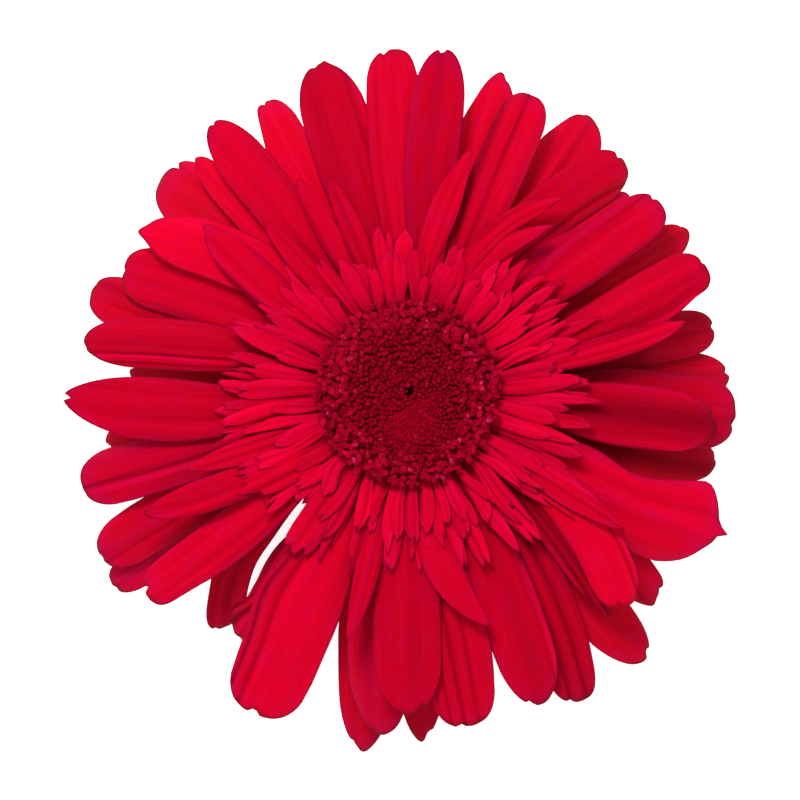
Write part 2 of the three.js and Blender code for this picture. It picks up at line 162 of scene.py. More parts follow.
# Long rays, anticlockwise from +X: azimuth of the tip and of the root, reach, width, level, tip, tone and bands.
LONG_RAYS = [
    ray(2.8, 3, 50.1, 8.8, 0, ROUND, -0.1, (0.3, 0.1, 0.12, -0.3, 0), (0.8, 0.2, -0.3, 0), hidden=0.6),
    ray(11.6, 12, 48.5, 7.6, 0.7, BLUNT, -0.3, (0.6, 0.7, 0.3, -0.3, 0), hidden=0.66, folds=((0, 0.6, 0.12),)),
    ray(22.6, 16, 49.9, 8.8, 3, BLUNT, -0.2, (0.5, 0.3, 0.25, 0.25, 0), (-0.6, -0.75, 0.06, -0.6, 0),
        (-0.8, -0.92, 0.1, 0.4, 0.3), (0, 0.2, -0.1, 0.1), claw=(0.3, 0.8), bulges=((-1, 0.9, 0.08, -1),),
        folds=((-0.62, 0.5, 0.1),)),
    ray(29.8, 29, 50.2, 7.5, 0.5, ROUND, -0.15, (0.2, 0, 0.12, -0.25, 0.2), (0.9, 0.15, -0.5, 0), hidden=0.48),
    ray(36.6, 37, 48.7, 8, 2.5, BLUNT, 0, (0.75, 0.9, 0.2, -0.15, 0.65), (0.5, 0.62, 0.05, -0.7, 0),
        (-0.9, 0.08, -0.4, 0)),
    ray(46.4, 61, 48.8, 8.4, 1.7, BLUNT, -0.1, (-0.55, -0.68, 0.06, -0.9, 0), (-0.8, -0.85, 0.1, 0.3, 0.3),
        (0.1, 0.4, -0.1, 0.1), curl=(-0.25, 0.1), folds=((-0.62, 0.5, 0.09),)),
    ray(56.6, 55, 51.2, 9.5, 0.7, ROUND, 0, (0.1, -0.1, 0.07, -0.4, 0.4),
        bulges=((-1, 0.93, 0.08, 0.8), (1, 0.93, 0.08, -0.6))),
    ray(67.2, 68, 49.6, 8, 2.7, BLUNT, -0.04, (-0.1, 0.15, 0.07, -0.5, 0.3), (-0.6, -0.4, 0.2, 0.3, 0),
        (0.6, 0.95, 0.2, -0.8, 0), folds=((0, 0.5, 0.1),)),
    ray(73.6, 74, 51.6, 8.6, 1.2, LANCE, 0.1, (0, 0.5, 0, 0.25), bulges=((-1, 0.88, 0.1, 0.9), (1, 0.88, 0.1, -0.4))),
    ray(83.9, 84, 53.2, 8.4, 3, ROUND, -0.25, (0, 0.1, 0.16, -0.25, 0.2), (0.7, 0.8, 0.12, -0.1, 0.5)),
    ray(92.6, 93, 52.9, 8.8, 2.5, BLUNT, 0, (0.1, 0, 0.06, -0.2, 0.3), (0.55, 0.65, 0.05, -0.3, 0.3),
        bulges=((-1, 0.93, 0.08, -0.6),), folds=((0.6, 0.4, 0.1),)),
    ray(105.5, 103, 52.6, 10.5, 1.9, ROUND, -0.33, (-0.8, -0.85, 0.07, 0.35, 0.3), (-0.6, -0.65, 0.05, -0.4, 0),
        (0.45, 0.4, 0.2, -0.15, 0), notches=((-0.25, -0.012, 0.06), (0.1, 0.012, 0.1))),
    ray(116.6, 115, 50.1, 7.4, 1.2, BLUNT, 0.15, (0.2, 0, 0.15, 0.2, 0.2), bulges=((1, 0.95, 0.12, -1.3),)),
    ray(126.2, 123, 51.4, 8, 2.6, ROUND, 0, (0.3, 0.25, -0.1, 0.4), (-0.8, 0.15, -0.3, 0)),
    ray(132.3, 131, 48.9, 5, 1.5, ROUND, 0.2),
    ray(138.4, 137, 50.8, 10.6, 0, BLUNT, -0.05, (-0.7, -0.8, 0.15, 0.5, 0), notches=((-0.42, 0.022, 0.07),)),
    ray(148.7, 134, 47.5, 8.8, 2.8, ROUND, 0.38, notches=((0.05, -0.03, 0.22),), bulges=((-1, 0.9, 0.1, -0.4),),
        folds=()),
    ray(157, 149.5, 48, 9.5, 1.7, BLUNT, -0.05, (0.85, 0.08, -0.3, 0.4), (0.2, 0.3, 0.2, 0, 0.3)),
    ray(162.6, 164, 51.6, 8.2, 0.5, BLUNT, -0.1, (-0.4, 0.3, -0.35, 0.1), hidden=0.35),
    ray(171.4, 164, 50.8, 8, 1.8, ROUND, -0.22, (0.62, 0.5, 0.05, 1, 2), (0.45, 0.38, 0.05, -0.8, 0),
        (0.82, 0.75, 0.05, -0.8, 0), (0, 0.3, -0.1, 0.1), folds=((0.55, 0.7, 0.09), (0.15, 0.35, 0.12))),
    ray(175.5, 177, 43.4, 7.6, 0.4, ROUND, -0.4, (0.5, 0.1, 0.3, 0.8)),
    ray(180.9, 189.4, 53.4, 9.8, 2.6, LANCE, -0.25, (0.6, 0.5, 0.15, 0.15, 0.1), notches=((0, 0.03, 0.05),)),
    ray(189.6, 190, 47.6, 7.4, 0.6, ROUND, -0.05, (-0.5, -0.4, 0.22, 0.5, 1.5), (0.9, 0.2, -0.5, 0), hidden=0.3),
    ray(196.1, 196, 52.6, 9, 1.8, BLUNT, -0.16, (0.35, 0.1, 0.06, -0.8, 0.1), (0.55, 0.3, 0.08, 0.4, 0.7),
        (-0.7, 0.2, -0.1, 0.4), notches=(), folds=((0.3, 0.6, 0.1),)),
    ray(208.2, 205, 54.2, 8.4, 0.9, BLUNT, -0.02, (-0.2, 0, 0.3, -0.2, 0.6), (0.35, 0.3, 0.05, -0.5, 0), hidden=0.5),
    ray(213.4, 211, 55, 6.5, 0.2, BLUNT, -0.1, (0, 0.6, 0, 0.7), hidden=0.4),
    ray(218.4, 220, 51.3, 7.8, 2.7, BLUNT, 0.1, (0.9, 0.1, 0, 0.8), (0.7, 0.75, 0.04, -0.5, 0), (-0.5, 0.3, 0.1, 0),
        bulges=((1, 0.88, 0.12, -0.8),)),
    ray(231, 220.5, 47.6, 5.3, 0.6, BLUNT, -0.15, (0.85, 0.8, 0.12, 0.5, 0.3), (0.3, 0.12, -0.4, 0.3),
        (-0.3, 0.1, -0.3, 0), hidden=0.3, turn=3.2,
        bulges=((1, 0.6, 0.15, 0.45), (1, 0.84, 0.13, 1.2), (1, 0.96, 0.08, 1.3), (-1, 0.9, 0.12, -0.9))),
    ray(235.7, 240, 46.6, 8, 0.7, ROUND, 0, (-0.85, -0.8, 0.05, -1, 0), (-0.7, -0.65, 0.05, 0.4, 0.6),
        (-0.55, -0.5, 0.06, -1, 0), (-0.4, 0.07, -1, 0), (-0.05, 0.06, -0.8, 0), (-0.22, 0.07, 0.4, 0.5),
        (0.3, 0.07, -0.7, 0), (0.12, 0.07, 0.3, 0.6), hidden=0.46,
        bulges=((-1, 0.6, 0.12, 0.35), (-1, 0.82, 0.09, -0.8), (-1, 0.95, 0.07, 1.4)),
        folds=((-0.4, 0.8, 0.1), (-0.05, 0.7, 0.1), (0.3, 0.7, 0.1))),
    ray(244.7, 243, 55.3, 12.5, 2.7, BLUNT, 0.28, (-0.8, -0.75, 0.2, -0.3, 1), (-0.5, 0.05, -0.9, 0.2),
        (-0.82, -0.85, 0.05, -1, 0), (-0.1, -0.2, 0.04, -0.25, 0), bulges=((-1, 0.58, 0.13, 1.2),),
        folds=((-0.5, 0.7, 0.09), (-0.82, 0.5, 0.07), (0.3, 0.15, 0.2))),
    ray(263, 258.3, 56.6, 10.5, 0, LANCE, -0.1, (0.5, 0.2, -0.4, 0.1), (-0.6, 0.2, 0.1, 0.2),
        bulges=((-1, 0.72, 0.16, -0.75),)),
    ray(265.8, 262.5, 53.5, 8.5, 1.2, ROUND, 0, (-0.3, 0.3, 0, 0.3), bulges=((-1, 0.7, 0.2, 1.5),)),
    ray(270.3, 268.6, 50, 10.5, 3.1, ROUND, -0.12, (0.3, 0.3, -0.12, 0)),
    ray(272.2, 274, 54.6, 8.6, 0.5, LANCE, -0.3),
    ray(280.4, 279, 52.7, 10, 2.5, BLUNT, 0, (-0.45, -0.5, 0.05, -0.7, 0), (-0.1, 0.06, -0.7, 0),
        (0.3, 0.05, -0.6, 0), (-0.8, 0.05, -0.5, 0), claw=(0.6, 0.62), bulges=((1, 0.7, 0.15, 0.8),),
        folds=((-0.55, 0.6, 0.1), (-0.1, 0.6, 0.1), (0.35, 0.5, 0.1))),
    ray(292.9, 298.8, 52.7, 9.5, 2.1, ROUND, 0, (0.1, 0.4, -0.3, 0.15), (0.75, 0.7, 0.05, -0.4, 0.2),
        (0.9, 0.1, 0.3, 0.2), claw=(0.6, 0.62)),
    ray(298.9, 311.5, 55, 8.4, 1.4, BLUNT, -0.4, (0.35, 0.3, 0.06, -0.9, 0.2), (-0.3, 0.07, -0.8, 0.2),
        (0.05, 0.1, 0.2, 0.6), (0.7, 0.1, 0.3, 0.5), hidden=0.3, bulges=((1, 0.9, 0.12, -0.5),)),
    ray(312, 322, 46.8, 5.4, 2.4, LANCE, -0.2, (-0.55, 0.12, -1, 0.1), (-0.9, 0.12, 0.2, 0.9), (-0.1, 0.12, -0.8, 0),
        hidden=0.3, folds=((-0.35, 0.7, 0.12), (0.05, 0.5, 0.1), (0.5, 0.6, 0.12))),
    ray(311.4, 309, 55.8, 8.8, 0.4, ROUND, 0.05, (0, 0.2, 0.15, -0.2, 0)),
    ray(314.6, 329.5, 47, 7.8, 3.2, BLUNT, 0.4, (0.72, 0.05, -0.8, 0), (0.9, 0.08, 0.1, 0.4), (-0.9, 0.06, -0.3, 0),
        turn=2.0, folds=((0.72, 0.4, 0.08),)),
    ray(321, 323, 50, 8, 1, BLUNT, -0.1, (0, 0.2, -0.1, 0.6), (-0.5, 0.08, -0.5, 0),
        notches=((-0.5, -0.03, 0.3), (0.2, 0.01, 0.1)), bulges=((1, 0.93, 0.1, -0.9),)),
    ray(334.8, 331.5, 52.8, 13.5, 1.8, ROUND, 0.22, (-0.1, 0, 0.12, 0.15, 0.3), (0.4, 0.3, 0.06, -0.35, 0),
        (0.65, 0.55, 0.2, 0.15, 0), notches=((0.13, -0.045, 0.08),),
        bulges=((-1, 0.99, 0.04, -2), (-1, 0.79, 0.15, 0.7), (1, 0.62, 0.15, -2.6), (1, 0.93, 0.07, 2.6))),
    ray(346.4, 347, 49.2, 9.2, 0.4, ROUND, -0.3, (-0.95, 0.1, 0.4, 0.4), (-0.2, 0.35, -0.5, 0),
        (0.7, 0.6, 0.1, 0.3, 0.2), hidden=0.6, folds=((-0.2, 0.5, 0.15),)),
    ray(353.4, 354.2, 48, 9.8, 2.4, ROUND, -0.25, (0.05, 0.1, 0.48, -0.7, 0.15), (0.82, 0.85, 0.1, 0.5, 0.2),
        (-0.8, 0.14, 0.35, 0), (-0.97, 0.05, -0.5, 0), folds=((0.75, 0.4, 0.1),)),
    ray(355.4, 357, 51, 11.5, 1.1, BLUNT, -0.2, (0.5, 0.1, 0.3, 0.2), (-0.3, -0.1, 0.1, -0.3, 0), hidden=0.45),
    ray(41.5, 46, 45.8, 6, 1.2, ROUND, 0.1, (0.6, 0.5, 0, 1), (-0.2, 0.2, -0.1, 0.4), folds=()),
]

# Mid-length rays that lie over the long ones, with the same columns.
MID_FIRST = 46  # the number that the random draws of the first one start from
MID_RAYS = [
    ray(51, 67, 38.2, 4, MID, POINTED, 0.05, (-0.85, 0.2, -1, 0), (0.85, 0.12, -0.5, 0), turn=2.0),
    ray(48.5, 63, 34, 3.4, MID, POINTED, 0, (-0.85, 0.2, -0.8, 0), turn=2.0),
    ray(75.5, 84, 38.6, 4.6, MID, POINTED),
    ray(110.5, 107, 35.5, 3.8, MID, POINTED, -0.1, (0.85, 0.2, -0.6, 0), (0, 0.15, -0.3, 0),
        folds=((0.1, 0.6, 0.2),)),
    ray(117.5, 115, 37, 3.6, MID, LANCE, 0, (0.8, 0.2, -0.6, 0), (-0.8, 0.15, 0.1, 0.6)),
    ray(130.5, 128, 34.5, 4, MID, POINTED, -0.05, (-0.8, 0.2, -0.6, 0), (0.5, 0.2, 0, 0.6), folds=((0, 0.6, 0.2),)),
    ray(141, 147, 40.6, 6, MID, LANCE, 0.05, (0.9, 0.95, 0.12, -0.9, 0), (0.65, 0.7, 0.1, 0.2, 0.8),
        (-0.85, -0.9, 0.12, -0.4, 0)),
    ray(199.5, 201, 36.5, 4, MID, POINTED),
    ray(205, 213, 45, 5.4, MID, LANCE, -0.05, (0.85, 0.12, -0.5, 0.2), (-0.2, 0.08, -0.4, 0), (0.4, 0.2, 0.1, 0.4)),
    ray(234.4, 233.5, 30.8, 5.2, MID, BLUNT, 0.1, notches=((-0.35, 0.06, 0.12), (0.4, 0.09, 0.14)),
        folds=((0, 0.6, 0.15),)),
    ray(256.4, 258, 39.8, 3.8, MID, POINTED, -0.05, (0, 0.2, 0, 0.6), (0.8, 0.15, -0.5, 0)),
    ray(289.6, 276, 38.6, 5.6, MID, POINTED, 0.05, (0.8, 0.12, -0.3, 0.5), (-0.1, 0.05, -0.3, 0), turn=2.0),
    ray(327.2, 328, 39.8, 4.2, MID, POINTED, 0.1, (0.85, 0.15, 0.3, 1), (-0.85, 0.12, 0.2, 0.9), (0, 0.1, -0.6, 0)),
    ray(14, 9, 44, 4, MID, LANCE, 0.05, (0.8, 0.14, -0.7, 0), (-0.9, 0.1, -0.4, 0), (0.3, 0.15, 0.2, 0.5)),
    ray(211, 215, 31, 4.6, MID, LANCE, 0.1, (0.3, 0.12, -0.6, 0), notches=((-0.3, 0.08, 0.15), (0.5, 0.1, 0.2))),
]

# Rings of short inner rays: count, mean reach, width, root height, bend radius and height, tip height,
# and the share of their length, from the root, that is painted in the shade of the ring above.
SHORT_RINGS = (
    (56, 28, 2.6, 16.4, 19.5, 18.6, 17.9, 0.14),
    (54, 25.8, 2.5, 17, 18, 19.3, 18.7, 0.07),
    (50, 23.4, 2.4, 17.8, 17, 20, 19.3, 0),
)
SHORT_SPREAD = {"reach": 3.2, "tip_z": 0.5, "root": 2.2, "azimuth": 4, "roll": 22, "width": 0.3, "hidden": 0.09}
SHORT_TIPS = (POINTED, LANCE, POINTED, ROUND, LANCE)
SHORT_CLAW = (0.5, 0.75)
SHORT_LEAN = (0.4, -1.2, 1.9)  # how much farther short rays reach to the right, to the top and to both sides
SHORT_GAP = {"from": 223.5, "to": 230.5, "reach": 24.3}  # the open slit keeps short florets out


# ----- numbers and meshes -----

def draw(index, stream):
    """A repeatable draw from 0 to 1 for a number and a named stream of draws."""
    value = math.sin(index * 12.9898 + stream * 78.233) * 43758.5453
    return value - math.floor(value)


def spread(index, stream):
    return 2 * draw(index, stream) - 1


def smooth(x):
    """An even step from 0 to 1 while x goes from 0 to 1."""
    t = np.clip(x, 0, 1)
    return t * t * (3 - 2 * t)


def polar(radius, azimuth, height):
    """Points at a radius, an azimuth in radians and a height."""
    return np.stack([radius * np.cos(azimuth), radius * np.sin(azimuth), height], axis=-1)


def make_mesh(name, points, polygons, materials):
    """A smooth mesh, in metres, from points in millimetres."""
    mesh = bpy.data.meshes.new(name)
    mesh.from_pydata((points * MM).tolist(), [], polygons)
    mesh.polygons.foreach_set("use_smooth", np.ones(len(polygons), dtype=bool))
    for material in materials:
        mesh.materials.append(material)
    return mesh


def mount(name, mesh, node):
    """Puts a mesh into the scene, riding on the root and standing for a CAD node."""
    mesh.update()
    piece = bpy.data.objects.new(name, mesh)
    bpy.context.scene.collection.objects.link(piece)
    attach(piece, "root")
    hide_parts(node)


class Builder:
    """Collects the points, faces and per-point values of one piece."""

    def __init__(self):
        self.parts = []
        self.count = 0

    def add(self, points, faces, uvs, tints, slots):
        self.parts.append((points, faces + self.count, uvs, tints, slots))
        self.count += len(points)

    def piece(self, name, node, slot, materials):
        """Makes the piece. A face that names a corner twice in a row has three corners."""
        points, faces, uvs, tints, slots = (np.concatenate(part) for part in zip(*self.parts))
        polygons = [list(dict.fromkeys(face)) for face in faces.tolist()]
        mesh = make_mesh(name, points, polygons, materials)
        mesh.polygons.foreach_set("material_index", slots.astype(np.int32))
        corners = uvs[[corner for face in polygons for corner in face]]
        mesh.uv_layers.new(name="UVMap").data.foreach_set("uv", corners.astype(np.float32).ravel())
        tint = mesh.color_attributes.new("tint", "FLOAT_COLOR", "POINT")
        tint.data.foreach_set("color", tints.astype(np.float32).ravel())
        mount(name, mesh, node)


def grid_faces(rows, columns, offset, flip):
    """Quads of a grid of points, rows by columns."""
    a = (columns * np.arange(rows - 1)[:, None] + np.arange(columns - 1)).ravel() + offset
    quads = np.stack([a, a + columns, a + columns + 1, a + 1], axis=1)
    return quads[:, ::-1] if flip else quads


def skin_faces(rows, columns):
    """A closed skin from a top and a bottom grid that share no points."""
    below = rows * columns
    faces = [grid_faces(rows, columns, 0, False), grid_faces(rows, columns, below, True)]
    slots = [np.zeros(len(faces[0])), np.ones(len(faces[1]))]
    index = np.arange(rows * columns).reshape(rows, columns)
    rim = np.concatenate([index[:, 0], index[-1, 1:], index[-2::-1, -1], index[0, -2:0:-1]])
    after = np.roll(rim, -1)
    faces.append(np.stack([rim, rim + below, after + below, after], axis=1))
    slots.append(np.zeros(len(rim)))
    return np.concatenate(faces), np.concatenate(slots)


# ----- blades: rays, bracts and lobes -----

class Blade:
    """A thin blade's measures. Those below hold where a blade has none of its own."""
    turn = 1
    claw = RAY_CLAW
    hidden = 0
    notches = bulges = folds = bands = ()

    def __init__(self, **measures):
        vars(self).update(measures)


def middle_line(blade, t):
    """Points of the blade's middle line at t, which may be an array."""
    s = 1 - t
    radius = s * s * blade.root_r + 2 * s * t * blade.bend_r + t * t * blade.reach
    height = s * s * blade.root_z + 2 * s * t * blade.bend_z + t * t * blade.tip_z
    azimuth = np.radians(blade.root_a + (blade.tip_a - blade.root_a) * t ** blade.turn)
    return polar(radius, azimuth, height)


def unit(v):
    return v / np.linalg.norm(v, axis=-1, keepdims=True)


def blade_frame(blade, t):
    """Middle points, the way across and the way up through the blade at t."""
    step = 0.01
    along = unit(middle_line(blade, t + step) - middle_line(blade, np.maximum(t - step, 0)))
    across = unit(np.cross((0, 0, 1), along))
    up = np.cross(along, across)
    roll = np.radians(blade.roll)
    across, up = across * np.cos(roll) + up * np.sin(roll), up * np.cos(roll) - across * np.sin(roll)
    return middle_line(blade, t), across, up


def half_width(blade, u, t):
    """Half the blade's width at t, with the bulges of the side that u lies on."""
    claw, length = blade.claw
    half = 0.5 * blade.width * (claw + (1 - claw) * smooth(t / length))
    for side, place, spread_along, amount in blade.bulges:
        half = half + amount * (u * side > 0) * np.exp(-((t - place) / spread_along) ** 2)
    return half


def tip_line(blade, u):
    """Where the blade ends along its length, for each place u across it from -1 to 1."""
    start, power = blade.tip
    end = start + (1 - start) * (1 - np.abs(u) ** power) ** (1 / power)
    for place, depth, width in blade.notches:
        end = end - depth * np.exp(-((u - place) / width) ** 2)
    return end


def blade_relief(blade, u, t, half):
    """Height of the blade's skin over its middle line: arch, furrows and waved edges."""
    index = blade.id
    fade = smooth(t / 0.25) * (1 - 0.6 * smooth((t - 0.8) / 0.2))
    height = -blade.arch * half * u * u
    for place, depth, width in blade.folds:
        height = height - depth * fade * np.exp(-((u - place) / width) ** 2)
    furrows = np.cos(FURROW_PACE * u + 6 * draw(index, 21)) * min(1.0, blade.width / 6)
    height = height + FURROW_DEPTH * fade * furrows
    for side, stream in ((1, 22), (-1, 25)):
        edge = smooth((side * u - 0.25) / 0.75)
        phase = 2 * math.pi * (t * (1.3 + draw(index, stream)) + draw(index, stream + 1))
        height = height + blade.wave * edge * np.sin(phase) * smooth(t / 0.4)
        height = height + blade.curl[0 if side < 0 else 1] * half * edge ** 2 * smooth(t / 0.5)
    return height


def bands(blade, u, t):
    """Tone and pinkness over the blade: its own, with the lengthwise stripes added; both hold painted light and
    shade.
    """
    tone = blade.tone + 0 * u * t
    pink = 0.5 * blade.pink + 0 * u * t
    for *line, width, more_tone, more_pink in blade.bands:
        near, far = line[0], line[-1]
        share = np.exp(-((u - near - (far - near) * t) / width) ** 2) * smooth(t / 0.35)
        tone = tone + more_tone * share
        pink = pink + 0.5 * more_pink * share
    return np.clip(tone, -1, 1), np.clip(pink, 0, 1)


def add_blade(builder, blade, grid):
    """Adds one thin closed blade: a grid of rows along it by columns across it, above and below."""
    rows, columns = grid
    u = np.sin(np.linspace(-math.pi / 2, math.pi / 2, columns))
    u = COLUMN_SPACING[0] * u + COLUMN_SPACING[1] * np.linspace(-1, 1, columns)
    u = u[None, :]
    v = np.linspace(0, 1, rows)[:, None] ** ROW_CROWDING
    t = v * tip_line(blade, u)
    middle, across, up = blade_frame(blade, t)
    half = half_width(blade, u, t)
    sway = blade.sway * np.sin(math.pi * t) * np.sin(2.6 * t + 6 * draw(blade.id, 31))
    relief = blade_relief(blade, u, t, half)
    base = middle + across * (u * half + sway)[..., None]
    thick = blade.thickness * (0.35 + 0.65 * np.sqrt(np.clip(1 - u * u, 0, 1))) * (1 - 0.4 * t)
    top = base + up * (relief + thick / 2)[..., None]
    bottom = base + up * (relief - thick / 2)[..., None]
    points = np.concatenate([top.reshape(-1, 3), bottom.reshape(-1, 3)]) + DISC_AXIS
    length = blade.reach - blade.root_r
    shift = 10 * draw(blade.id, 33)
    uv = np.stack([u * half / UV_SIZE + 3 * shift, t * length / UV_SIZE + shift], axis=-1).reshape(-1, 2)
    edge = np.maximum(np.abs(u), v ** 3)
    tone, pink = bands(blade, u, t)
    # The third value counts along the blade from the end of the share painted in shade; the material paints shade
    # where it is small.
    hidden = blade.hidden
    shown = np.clip((t - hidden) / (1 - hidden), 0, 1)
    tint = np.stack([0.5 + 0.5 * tone, edge, shown, pink], axis=-1).reshape(-1, 4)
    faces, slots = skin_faces(rows, columns)
    builder.add(points, faces, np.tile(uv, (2, 1)), np.tile(tint, (2, 1)), slots)


def ray_blade(index, details, tip_a, root_a, reach, width, level, tip):
    """A long or mid-length ray's blade, with random small measures where its row gives none."""
    if level is MID:
        root_z, bend_z = MID_ROOT_HEIGHT, MID_BEND_HEIGHT
        tip_z = MID_TIP_HEIGHT["narrow" if width < NARROW else "broad"]
    else:
        root_z, bend_z, tip_z = (low + rise * level for low, rise in (ROOT_HEIGHT, BEND_HEIGHT, TIP_HEIGHT))
    deep = 0.3 + 0.25 * draw(index, 11)
    place = 0.32 + 0.1 * spread(index, 12)
    blade = Blade(
        id=index, tip_a=tip_a, root_a=root_a, reach=reach, width=width, tip=tip,
        root_r=ROOT_RADIUS, bend_r=BEND_SHARE * reach, root_z=root_z, bend_z=bend_z, tip_z=tip_z,
        roll=RAY_ROLL * spread(index, 1), arch=RAY_ARCH, thickness=RAY_THICKNESS,
        folds=((place, deep, 0.17), (-place, deep * (0.4 + 0.6 * draw(index, 10)), 0.15)),
        wave=0.16 + 0.16 * draw(index, 13), sway=0.35 * spread(index, 16),
        curl=(0.08 * spread(index, 14), 0.08 * spread(index, 15)),
        notches=((0.35 * spread(index, 17), 0.025 * draw(index, 18), 0.09),),
        tone=0.15 * spread(index, 19), pink=draw(index, 20)
    )
    vars(blade).update(details)
    return blade


def table_rays(name, table, first, grid):
    """The rays of one table, whose random draws are numbered from first."""
    builder = Builder()
    for index, (measures, details) in enumerate(table, first):
        add_blade(builder, ray_blade(index, details, *measures), grid)
    builder.piece(name, "ray_florets", "red_petal", [RAY_FACE, RAY_BACK])


def short_blade(ring_index, ring, index):
    """A short ray's blade, from its ring's measures and random draws."""
    count, mean_reach, width, root_z, bend_r, bend_z, tip_z, hidden = ring
    number = 100 * (ring_index + 1) + index
    root_a = 360 * (index + 0.5 * ring_index) / count + SHORT_SPREAD["root"] * spread(number, 7)
    tip_a = root_a + SHORT_SPREAD["azimuth"] * spread(number, 2)
    angle = math.radians(tip_a)
    lean = SHORT_LEAN[0] * math.cos(angle) + SHORT_LEAN[1] * math.sin(angle) + SHORT_LEAN[2] * math.cos(2 * angle)
    reach = mean_reach + lean + SHORT_SPREAD["reach"] * spread(number, 3)
    if SHORT_GAP["from"] < tip_a < SHORT_GAP["to"]:
        reach = min(reach, SHORT_GAP["reach"])
    crease = 0.5 * spread(number, 9)
    return Blade(
        id=number, root_a=root_a, tip_a=tip_a, reach=reach,
        width=width * (1 + SHORT_SPREAD["width"] * spread(number, 4)),
        tip=SHORT_TIPS[int(len(SHORT_TIPS) * draw(number, 10))], claw=SHORT_CLAW,
        hidden=hidden + SHORT_SPREAD["hidden"] * spread(number, 30),
        root_r=ROOT_RADIUS, bend_r=bend_r, root_z=root_z, bend_z=bend_z,
        tip_z=tip_z + SHORT_SPREAD["tip_z"] * spread(number, 5),
        roll=SHORT_SPREAD["roll"] * spread(number, 6), arch=0.35 + 0.25 * spread(number, 8),
        thickness=SHORT_THICKNESS, folds=((crease, 0.3, 0.16),), wave=0.14,
        curl=(0.3 * spread(number, 14), 0.3 * spread(number, 15)), sway=1.1 * spread(number, 16),
        notches=(
            (0.5 * spread(number, 17), 0.22 * draw(number, 18) ** 1.5, 0.16),
            (0.8 * spread(number, 26), 0.12 * draw(number, 24), 0.2),
        ),
        tone=0.28 + 0.25 * spread(number, 19), pink=0.2 + 0.8 * draw(number, 20),
        # Along the crease a dark stripe of painted shade, and beside it a lighter, pinker one, partly a painted
        # highlight.
        bands=(
            (crease, 0.6 * crease, 0.12, -0.9 * draw(number, 29), 0),
            (crease + 0.45, 0.6 * crease + 0.4, 0.16, 0.3 * draw(number, 28), 0.4 * draw(number, 27)),
        )
    )


def short_rays():
    builder = Builder()
    for ring_index, ring in enumerate(SHORT_RINGS):
        for index in range(ring[0]):
            add_blade(builder, short_blade(ring_index, ring, index), SHORT_GRID)
    builder.piece("rays_inner", "ray_florets", "red_petal", [RAY_INNER, RAY_BACK])


# ----- turned forms -----

def turned_piece(name, node, profile, segments, material, ribs=(0, 0.0), lift=None):
    """A closed turned form whose profile runs from axis to axis, with ribs and a lift of its upper side."""
    inner = np.array(profile[1:-1], dtype=float)
    rows = len(inner)
    angle = np.linspace(0, 2 * math.pi, segments, endpoint=False)
    ridge = 1 + ribs[1] * np.cos(ribs[0] * angle) + 0.5 * ribs[1] * np.cos(3 * angle + 1)
    rings = [polar(radius * ridge, angle, 0 * angle + height) for radius, height in inner]
    poles = np.array([[0, 0, profile[0][1]], [0, 0, profile[-1][1]]], dtype=float)
    if lift:
        for ring in rings[1:]:
            ring[:, 2] += lift(ring[:, 0], ring[:, 1])
        poles[1, 2] += lift(0.0, 0.0)
    points = np.concatenate(rings + [poles]) + DISC_AXIS
    index = np.arange(segments)
    after = (index + 1) % segments
    first = segments * np.arange(rows - 1)[:, None]
    a, b = (first + index).ravel(), (first + after).ravel()
    quads = np.stack([a, b, b + segments, a + segments], axis=1)
    top = (rows - 1) * segments
    start = np.stack([np.full(segments, rows * segments), after, index], axis=1)
    end = np.stack([np.full(segments, rows * segments + 1), top + index, top + after], axis=1)
    polygons = quads.tolist() + start.tolist() + end.tolist()
    mount(name, make_mesh(name, points, polygons, [material]), node)


def rounded(profile, steps):
    """The profile with points added along it, so that its corners stay but its faces are small."""
    points = [profile[0]]
    for (r0, z0), (r1, z1) in zip(profile, profile[1:]):
        for step in range(1, steps + 1):
            share = step / steps
            points.append((r0 + (r1 - r0) * share, z0 + (z1 - z0) * share))
    return points


# ----- the disc -----

def disc_height(radius):
    """Height of the disc's skin before its pit and fold."""
    share = radius / DISC_RADIUS
    return DISC_MIDDLE - DISC_FALL * share * share


def calm(x, y):
    """1 on the smooth fold of the youngest buds, with a sharp side towards the pit, and 0 away from it."""
    away = np.hypot(x - CALM_PLACE[0], y - CALM_PLACE[1]) / CALM_RADIUS
    beyond = (x - FOLD_PLACE[0]) * FOLD_SIDE[0] + (y - FOLD_PLACE[1]) * FOLD_SIDE[1]
    return np.exp(-away ** 4) * smooth(beyond / FOLD_WIDTH)


def trail(x, y):
    """How deep a place lies in the groove that runs from the pit, from 0 to 1."""
    way = np.array(TRAIL_END) - PIT_PLACE
    length = math.hypot(*way)
    x, y = x - PIT_PLACE[0], y - PIT_PLACE[1]
    along = (x * way[0] + y * way[1]) / length ** 2
    across = (x * way[1] - y * way[0]) / length
    return np.where(along > 0, np.exp(-(across / TRAIL_WIDTH) ** 2) * (1 - smooth(along)), 0)


def disc_lift(x, y):
    """How much the disc's skin rises over the fold and sinks in the pit and its groove."""
    pit = np.exp(-(np.hypot(x - PIT_PLACE[0], y - PIT_PLACE[1]) / PIT_RADIUS) ** 2)
    return FOLD_RISE * calm(x, y) - PIT_DEPTH * pit - TRAIL_DEPTH * trail(x, y)


def disc_skin():
    radii = np.linspace(0, DISC_RADIUS, SKIN_GRID[0])
    profile = [(0, DISC_BOTTOM), (DISC_FOOT, DISC_BOTTOM)]
    profile += [(r, disc_height(r) - SKIN_DROP) for r in radii[::-1]]
    turned_piece("disc_skin", "disc_florets", profile, SKIN_GRID[1], SKIN, lift=disc_lift)


